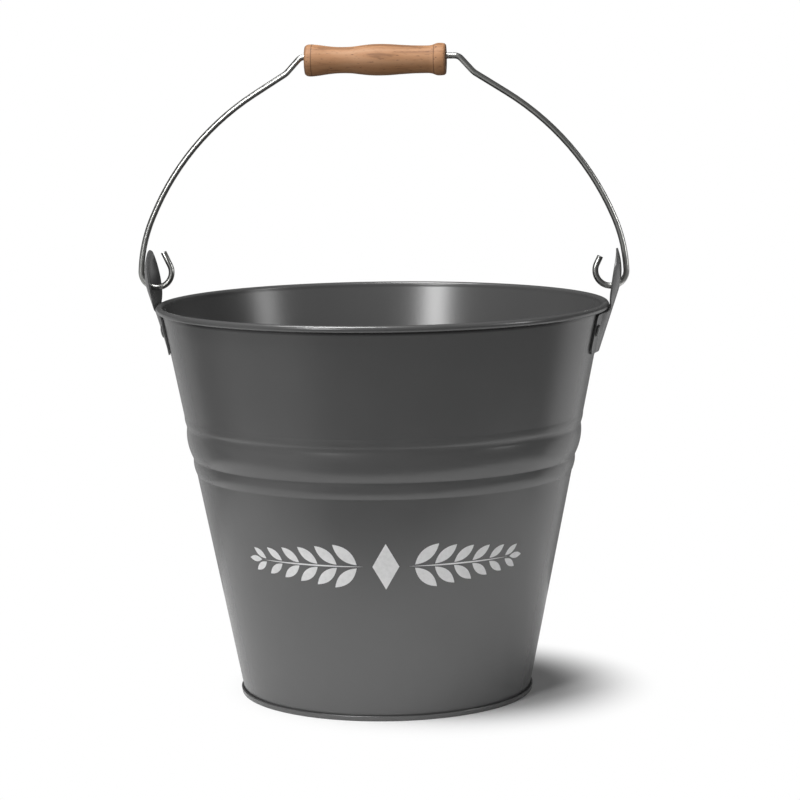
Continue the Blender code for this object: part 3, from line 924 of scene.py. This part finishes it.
def makeGrip():
    length, bore, rings = gripShape["length"], gripShape["bore"], gripShape["ringsAlong"]
    wider, deep = gripShape["mouth"]
    middle = -gripShape["slip"]
    low, high = middle - length / 2, middle + length / 2
    even = {round(i / rings, 5) for i in range(rings + 1)}
    shares = sorted(even | {share for share, radius in gripShape["line"]})
    profile = [(middle + length * (share - 0.5), gripRadiusAt(share)) for share in shares]
    profile += [(high, bore + wider), (high - deep, bore), (low + deep, bore), (low, bore + wider)]
    line = [(x, 0, gripHeight + radius) for x, radius in profile]
    grip = drawLine("turned_wooden_grip", line, closed=True)
    spinRound(grip, gripShape["steps"], (0, 0, gripHeight), (1, 0, 0))
    smoothShade(grip, degrees=40)
    return grip


finishPiece(makeGrip(), beech, "grip", ["wooden_grip"])

# The wire in the rim's roll is hidden, so it stays as the CAD has it and only gets its metal
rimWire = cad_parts["rim_wire"]
rimWire.data.materials.clear()
rimWire.data.materials.append(coreSteel)

# Printed ornament: a lozenge between two leafy sprays, drawn flat and wrapped on the cone

printShape = {
    "middle": 0.1045,  # height of its middle on the wall, and its bearing from the right ear
    "bearing": -84.6,
    "leafPairs": 6,
    "leafLength": 0.0200,
    "leafWidth": 0.0075,
    "leafDegrees": (42, 34),
    "lastLeafSize": 0.58,
    "tipLeafSize": 0.55,
    "leafSteps": 40,
    "start": 0.0185,
    "end": 0.083,
    "stemWidth": 0.0010,
    "stemGap": 0.0011,
    "stemTail": 0.004,
    "stemHead": 0.002,
    "lozenge": (0.0085, 0.0155),
    "proud": 0.00008,
    "reach": 0.102,
    "cell": 0.002,
}


def addLeaf(place, angle, length, width):
    # a disc one wide, drawn out to a lens with two points
    bpy.ops.mesh.primitive_circle_add(
        vertices=printShape["leafSteps"], radius=0.5, fill_type="NGON", location=(0, 0, 0),
    )
    leaf = bpy.context.object
    for vertex in leaf.data.vertices:
        vertex.co.y *= abs(vertex.co.y) * 2 * width
        vertex.co.x = (vertex.co.x + 0.5) * length
    leaf.rotation_euler.z = angle
    leaf.location = (*place, 0)
    return leaf


def addSpray(side):
    shape = printShape
    made = []
    run = shape["end"] - shape["start"]
    steep, flat = shape["leafDegrees"]
    for index in range(shape["leafPairs"]):
        share = index / (shape["leafPairs"] - 1)
        size = 1 - (1 - shape["lastLeafSize"]) * share
        for up in (-1, 1):
            angle = math.radians(steep + (flat - steep) * share) * up
            if side < 0:
                angle = math.pi - angle
            place = (side * (shape["start"] + run * share), shape["stemGap"] * up)
            made.append(addLeaf(place, angle, shape["leafLength"] * size, shape["leafWidth"] * size))
    turn = 0 if side > 0 else math.pi
    stemStart = (side * (shape["start"] - shape["stemTail"]), 0)
    made.append(addLeaf(stemStart, turn, run + shape["stemTail"] + shape["stemHead"], shape["stemWidth"]))
    tipStart = (side * (shape["end"] + shape["stemTail"]), 0)
    size = shape["tipLeafSize"]
    made.append(addLeaf(tipStart, turn, shape["leafLength"] * size, shape["leafWidth"] * size))
    return made


def makePrint():
    shape = printShape
    deselectAll()
    made = addSpray(-1) + addSpray(1)
    bpy.ops.mesh.primitive_circle_add(vertices=4, radius=1, fill_type="NGON", location=(0, 0, 0))
    lozenge = bpy.context.object
    lozenge.scale = (*shape["lozenge"], 1)
    ornament = joinPieces(made + [lozenge], "printed_leaf_ornament")
    editAll(ornament)
    reach = shape["reach"]
    count = int(2 * reach / shape["cell"])
    for step in range(count + 1):
        bpy.ops.mesh.select_all(action="SELECT")
        bpy.ops.mesh.bisect(plane_co=(-reach + 2 * reach * step / count, 0, 0), plane_no=(1, 0, 0))
    bpy.ops.object.mode_set(mode="OBJECT")
    radius = wallRadius(shape["middle"])
    for vertex in ornament.data.vertices:
        height = shape["middle"] + vertex.co.y / math.sqrt(1 + wallSlope ** 2)
        bearing = math.radians(shape["bearing"]) + vertex.co.x / radius
        out = wallRadius(height) + shape["proud"]
        vertex.co = (out * math.cos(bearing), out * math.sin(bearing), height)
    addThickness(ornament, shape["proud"] / 2)
    applyModifiers(ornament)
    return ornament


finishPiece(makePrint(), ink, "bucket")

# Floor, backdrop, lamps and camera

studio = {
    "floorRadius": 0.285,
    "floorStretch": 1.6,
    "floorSteps": 128,
    "floorColour": "#F2F2F2",
    "shadowMiddle": (0.035, 0.005, 0.0),
    "openFloor": (0.075, 0.150),  # the floor pales to white between these distances from there
    "mirroredWhite": 0.4,  # how much of that white the paint and metal reflect
    "lowRoom": 0.178,
    "highRoom": 0.075,
    "horizon": (-0.05, 0.08),
    "brightSides": [
        # direction, cosines at the edge and in the middle, level added to the low room
        ((-0.09, 0.97, -0.2), (0.77, 0.91), 0.084),
        ((0.647, 0.704, -0.292), (0.915, 0.975), 0.56),
        ((-0.85, -0.40, -0.34), (0.80, 0.96), 0.27),
        ((-0.60, 0.76, -0.23), (0.90, 0.97), 0.34),
    ],
    "lamps": [
        # name, place, size, watts
        ("key_softbox", (-0.5, -0.5, 2.1), (1.0, 1.0), 43),
        ("left_softbox", (-0.85, -1.79, 0.85), (0.42, 0.7), 13.8),
        ("right_softbox", (1.96, -0.50, 0.75), (0.38, 1.0), 6.6),
    ],
    "lampAim": (0, 0, 0.2),
    "camera": {"place": (0.1757, -1.8590, 0.4460), "degrees": (82.336, 0.683, 4.975), "lens": 127.30},
}


def makeFloor():
    deselectAll()
    bpy.ops.mesh.primitive_circle_add(
        vertices=studio["floorSteps"], radius=studio["floorRadius"], fill_type="NGON",
        location=(0, 0, 0),
    )
    floor = bpy.context.object
    floor.name = floor.data.name = "floor"
    floor.scale.x = studio["floorStretch"]
    placeInMesh(floor)
    material, tree, shader, place = startMaterial(
        "white_floor", {"Roughness": 0.9, "Specular IOR Level": 0.0},
    )
    shader.inputs["Base Color"].default_value = linear(studio["floorColour"])
    white = addNode(tree, "Emission", {"Strength": 1.0})
    away = addNode(tree, "VectorMath", {"operation": "DISTANCE", 1: studio["shadowMiddle"]}, {0: place})
    near, far = studio["openFloor"]
    paling = addNode(
        tree, "MapRange", {"From Min": near, "From Max": far, "interpolation_type": "SMOOTHSTEP"},
        {"Value": away.outputs["Value"]},
    )
    path = addNode(tree, "LightPath").outputs
    seen = addNode(
        tree, "Math", {"operation": "MULTIPLY_ADD", 1: studio["mirroredWhite"]},
        {0: path["Is Glossy Ray"], 2: path["Is Camera Ray"]},
    )
    share = addNode(
        tree, "Math", {"operation": "MULTIPLY"}, {0: seen.outputs["Value"], 1: paling.outputs["Result"]},
    )
    both = addNode(
        tree, "MixShader",
        links={0: share.outputs["Value"], 1: shader.outputs["BSDF"], 2: white.outputs["Emission"]},
    )
    tree.links.new(both.outputs["Shader"], tree.nodes["Material Output"].inputs["Surface"])
    floor.data.materials.append(material)


def makeWorld():
    # white to the camera; the object has a dim room, with brighter sides below the eye's height
    world = bpy.data.worlds.new("studio")
    bpy.context.scene.world = world
    world.use_nodes = True
    tree = world.node_tree
    direction = addNode(tree, "TexCoord").outputs["Generated"]
    low = None
    for side, (edge, middle), bright in studio["brightSides"]:
        facing = addNode(
            tree, "VectorMath", {"operation": "DOT_PRODUCT", 1: Vector(side).normalized()}, {0: direction},
        )
        patch = addNode(
            tree, "MapRange",
            {"From Min": edge, "From Max": middle, "To Max": bright, "interpolation_type": "SMOOTHSTEP"},
            {"Value": facing.outputs["Value"]},
        )
        joined = addNode(
            tree, "Math", {"operation": "ADD", 1: studio["lowRoom"]}, {0: patch.outputs["Result"]},
        )
        if low:
            tree.links.new(low, joined.inputs[1])
        low = joined.outputs["Value"]
    below, above = studio["horizon"]
    height = addNode(tree, "SeparateXYZ", links={0: direction}).outputs["Z"]
    level = addNode(
        tree, "MapRange",
        {
            "From Min": below, "From Max": above, "To Max": studio["highRoom"],
            "interpolation_type": "SMOOTHSTEP",
        },
        {"Value": height, "To Min": low},
    )
    room = tree.nodes["Background"]
    room.inputs["Color"].default_value = (1, 1, 1, 1)
    tree.links.new(level.outputs["Result"], room.inputs["Strength"])
    white = addNode(tree, "Background", {"Strength": 1.0, "Color": (1, 1, 1, 1)})
    seen = addNode(tree, "LightPath").outputs["Is Camera Ray"]
    both = addNode(
        tree, "MixShader", links={0: seen, 1: room.outputs["Background"], 2: white.outputs["Background"]},
    )
    tree.links.new(both.outputs["Shader"], tree.nodes["World Output"].inputs["Surface"])


def makeLamps():
    for name, place, size, watts in studio["lamps"]:
        deselectAll()
        bpy.ops.object.light_add(type="AREA", location=place)
        lamp = bpy.context.object
        lamp.name = lamp.data.name = name
        lamp.data.shape = "RECTANGLE"
        lamp.data.size, lamp.data.size_y = size
        lamp.data.energy = watts
        aim = Vector(studio["lampAim"]) - Vector(place)
        lamp.rotation_euler = aim.to_track_quat("-Z", "Y").to_euler()


def makeCamera():
    view = studio["camera"]
    deselectAll()
    bpy.ops.object.camera_add(location=view["place"])
    camera = bpy.context.object
    camera.rotation_euler = [math.radians(angle) for angle in view["degrees"]]
    camera.data.lens = view["lens"]
    camera.data.sensor_width = 36
    bpy.context.scene.camera = camera


makeFloor()
makeWorld()
makeLamps()
makeCamera()
bpy.context.scene.view_settings.view_transform = "Standard"
print("studio is ready")
